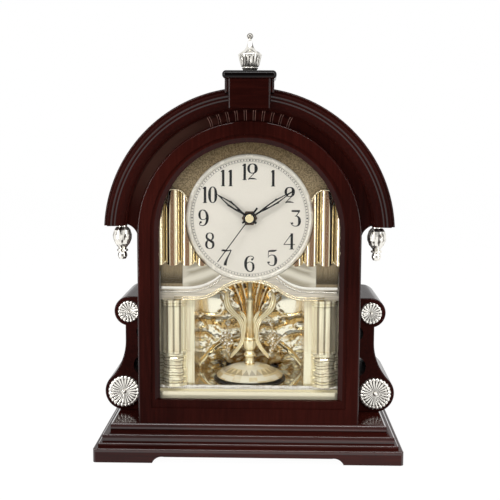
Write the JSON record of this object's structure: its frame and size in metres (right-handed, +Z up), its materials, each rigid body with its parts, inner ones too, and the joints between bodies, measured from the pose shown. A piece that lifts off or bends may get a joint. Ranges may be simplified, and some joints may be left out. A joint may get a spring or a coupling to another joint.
{
  "type": "desk pendulum clock",
  "caption": "Arched wooden desk clock with a quartz dial, fluted columns, a glazed room with a rotating lyre pendulum, scroll brackets, a stepped base and a hinged back door.",
  "frame": {"origin": "on the table, under the middle of the base", "axes": "+X to the right as the dial is read, +Y to the back, +Z up"},
  "size_m": [0.247, 0.14, 0.3386],
  "materials": {
    "felt": "matt felt",
    "mahogany": "high gloss lacquer",
    "inner_wood": "satin",
    "pane": "polished",
    "silver_trim": "bright plated",
    "gold_mirror": "bright gold plated",
    "champagne": "satin champagne",
    "gold": "polished and lacquered",
    "dial": "cream print, matt",
    "black": "semi-gloss black",
    "black_plastic": "fine texture",
    "clear_plastic": "moulded",
    "white_plastic": "moulded",
    "crystal": "cut and polished",
    "steel": "turned",
    "copper": "enamelled winding",
    "cell": "printed wrapper, plain"
  },
  "bodies": {
    "case": {"felt_pads": "felt", "base_plinth": "mahogany", "base_moulding": "mahogany", "base_deck": "mahogany", "front_frame": "mahogany", "front_board": "mahogany", "front_glass": "pane", "side_left": "mahogany", "side_right": "mahogany", "back_frame": "mahogany", "roof_shell": "mahogany", "roof_moulding": "mahogany", "keystone": "mahogany", "finial": "silver_trim", "pendants": "silver_trim", "scroll_left": "mahogany", "scroll_right": "mahogany", "rosettes": "silver_trim", "stage": "gold_mirror", "back_mirror": "gold_mirror", "side_mirrors": "gold_mirror", "pilasters": "gold", "valance": "champagne", "cornice": "silver_trim", "wings": "champagne", "dial_panel": "champagne", "upper_reeds": "gold", "dial_plate": "dial", "dial_bezel": "gold", "hex_nut": "gold", "movement_case": "black_plastic", "movement_cover": "clear_plastic", "movement_coil": "copper", "battery": "cell", "pendulum_well": "black_plastic", "drive_case": "black_plastic", "drive_coil": "copper", "drive_battery": "cell", "hinge_frame_leaves": "gold", "door_magnet": "black_plastic"},
    "second": {"second_wheel": "white_plastic", "second_hand": "black", "centre_cap": "gold"},
    "minute": {"centre_wheel": "gold", "minute_hand": "black"},
    "hour": {"hour_wheel": "white_plastic", "hour_hand": "black"},
    "third": {"third_wheel": "white_plastic"},
    "motion": {"minute_wheel": "white_plastic", "set_knob": "black_plastic"},
    "intermediate": {"intermediate_wheel": "white_plastic"},
    "rotor": {"rotor": "steel"},
    "pendulum": {"pendulum_disc": "gold", "pendulum_lyre": "gold", "crystals": "crystal", "pendulum_magnet": "steel"},
    "door": {"back_door": "mahogany", "hinge_door_leaves": "gold", "door_knob": "gold"}
  },
  "joints": [
    {"name": "second_spin", "type": "hinge", "parent": "case", "child": "second", "pos_m": [0, -0.026, 0.194], "axis": [0, 1, 0], "continuous": true},
    {"name": "minute_spin", "type": "hinge", "parent": "case", "child": "minute", "pos_m": [0, -0.026, 0.194], "axis": [0, 1, 0], "continuous": true},
    {"name": "hour_spin", "type": "hinge", "parent": "case", "child": "hour", "pos_m": [0, -0.026, 0.194], "axis": [0, 1, 0], "continuous": true},
    {"name": "third_spin", "type": "hinge", "parent": "case", "child": "third", "pos_m": [0, -0.026, 0.2036], "axis": [0, 1, 0], "continuous": true},
    {"name": "motion_spin", "type": "hinge", "parent": "case", "child": "motion", "pos_m": [0.0096, -0.026, 0.194], "axis": [0, 1, 0], "continuous": true},
    {"name": "intermediate_spin", "type": "hinge", "parent": "case", "child": "intermediate", "pos_m": [-0.00831, -0.026, 0.1892], "axis": [0, 1, 0], "continuous": true},
    {"name": "rotor_spin", "type": "hinge", "parent": "case", "child": "rotor", "pos_m": [-0.00831, -0.026, 0.1822], "axis": [0, 1, 0], "continuous": true},
    {"name": "pendulum_spin", "type": "hinge", "parent": "case", "child": "pendulum", "pos_m": [0, -0.005, 0.06], "axis": [0, 0, 1], "continuous": true},
    {"name": "door_hinge", "type": "hinge", "parent": "case", "child": "door", "pos_m": [-0.0582, 0.0644, 0.1264], "axis": [0, 0, 1], "range_deg": [0, 110]}
  ],
  "couplings": [
    {"joint": "minute_spin", "follows": "second_spin", "ratio": 0.016667},
    {"joint": "hour_spin", "follows": "second_spin", "ratio": 0.0013889},
    {"joint": "third_spin", "follows": "second_spin", "ratio": -0.125},
    {"joint": "motion_spin", "follows": "second_spin", "ratio": -0.0055556},
    {"joint": "intermediate_spin", "follows": "second_spin", "ratio": -5},
    {"joint": "rotor_spin", "follows": "second_spin", "ratio": 30}
  ]
}
